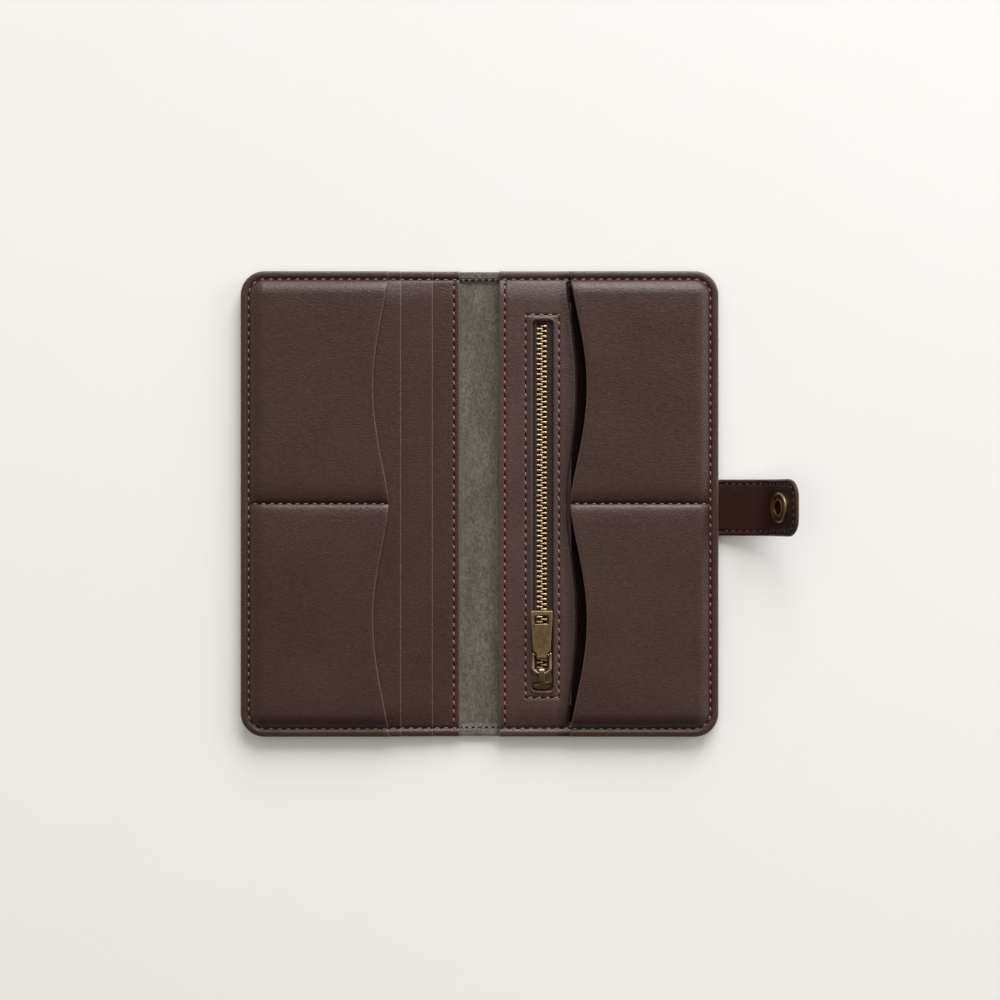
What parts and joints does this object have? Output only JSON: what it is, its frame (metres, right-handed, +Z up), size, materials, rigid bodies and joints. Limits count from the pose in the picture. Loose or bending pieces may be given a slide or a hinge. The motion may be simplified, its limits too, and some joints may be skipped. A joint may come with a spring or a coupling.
{
  "type": "long wallet",
  "caption": "Long bifold wallet lying open: tiered card pockets on one half, a zipped coin pocket on the other, and a snap strap.",
  "frame": {"origin": "centre of the spine's underside, on the surface the open wallet lies on", "axes": "+X across the open wallet towards the zipped half and its strap, +Y along the spine, +Z up"},
  "size_m": [0.2246, 0.19, 0.0316],
  "materials": {
    "dark_leather": "smooth coated leather, satin sheen",
    "zip_panel_leather": "smooth coated leather, slightly lighter, satin",
    "suede_lining": "napped suede-like lining, matt",
    "pocket_lining": "thin woven lining, matt",
    "zipper_tape": "herringbone woven tape, matt",
    "thread": "burgundy polyester thread",
    "antique_brass": "antique brass plating, worn bright on its edges",
    "board": "bare stiffener board",
    "foam": "thin open-cell foam"
  },
  "bodies": {
    "right_half": {"right_cover": "dark_leather", "right_padding": "foam", "right_board": "board", "bill_lining": "suede_lining", "coin_pocket_back": "pocket_lining", "zip_panel": "zip_panel_leather", "zipper_tape_left": "zipper_tape", "zipper_tape_right": "zipper_tape", "zipper_teeth_left": "antique_brass", "zipper_teeth_right": "antique_brass", "zipper_top_stop_left": "antique_brass", "zipper_top_stop_right": "antique_brass", "zipper_bottom_stop": "antique_brass", "coin_front_pocket": "dark_leather", "right_rim_filler": "dark_leather", "right_edge_thread": "thread", "coin_divider_thread": "thread", "zip_panel_thread": "thread", "zip_box_thread": "thread", "strap_root": "dark_leather"},
    "spine": {"spine_cover": "dark_leather", "spine_lining": "suede_lining"},
    "left_half": {"left_cover": "dark_leather", "left_padding": "foam", "left_board": "board", "left_lining": "suede_lining", "card_base_panel": "dark_leather", "card_tier_3": "dark_leather", "card_tier_2": "dark_leather", "card_front_pocket": "dark_leather", "left_rim_filler": "dark_leather", "left_edge_thread": "thread", "card_divider_thread": "thread", "base_panel_thread": "thread", "snap_stud": "antique_brass", "snap_eyelet": "antique_brass"},
    "slider": {"slider_body": "antique_brass"},
    "pull_link": {"pull_link": "antique_brass"},
    "pull_tab": {"pull_tab": "antique_brass"},
    "strap_middle": {"strap_middle_outer": "dark_leather", "strap_middle_lining": "dark_leather", "strap_middle_thread_lower": "thread", "strap_middle_thread_upper": "thread"},
    "strap_tip": {"strap_tip_outer": "dark_leather", "strap_tip_lining": "dark_leather", "strap_tip_thread": "thread", "snap_cap": "antique_brass", "snap_socket": "antique_brass"}
  },
  "joints": [
    {"name": "fold_right", "type": "hinge", "parent": "right_half", "child": "spine", "pos_m": [0.008, 0, 0.002], "axis": [0, 1, 0], "range_deg": [0, 90]},
    {"name": "fold_left", "type": "hinge", "parent": "spine", "child": "left_half", "pos_m": [-0.008, 0, 0.002], "axis": [0, 1, 0], "range_deg": [0, 90]},
    {"name": "zip_slide", "type": "slide", "parent": "right_half", "child": "slider", "axis": [0, 1, 0], "range_m": [0, 0.118]},
    {"name": "pull_link_swing", "type": "hinge", "parent": "slider", "child": "pull_link", "pos_m": [0.0253, -0.0688, 0.0093], "axis": [-1, 0, 0], "range_deg": [-110, 0]},
    {"name": "pull_tab_swing", "type": "hinge", "parent": "pull_link", "child": "pull_tab", "pos_m": [0.0253, -0.0614, 0.0093], "axis": [-1, 0, 0], "range_deg": [-60, 0]},
    {"name": "strap_bend_near", "type": "hinge", "parent": "right_half", "child": "strap_middle", "pos_m": [0.0988, -0.0015, 0.0022], "axis": [0, -1, 0], "range_deg": [-18, 72], "stiffness_Nm_per_rad": 0.02},
    {"name": "strap_bend_far", "type": "hinge", "parent": "strap_middle", "child": "strap_tip", "pos_m": [0.11687, -0.0015, 0.00807], "axis": [0, -1, 0], "range_deg": [-50, 40], "stiffness_Nm_per_rad": 0.02}
  ],
  "couplings": [
    {"joint": "fold_right", "follows": "fold_left", "ratio": 1}
  ]
}
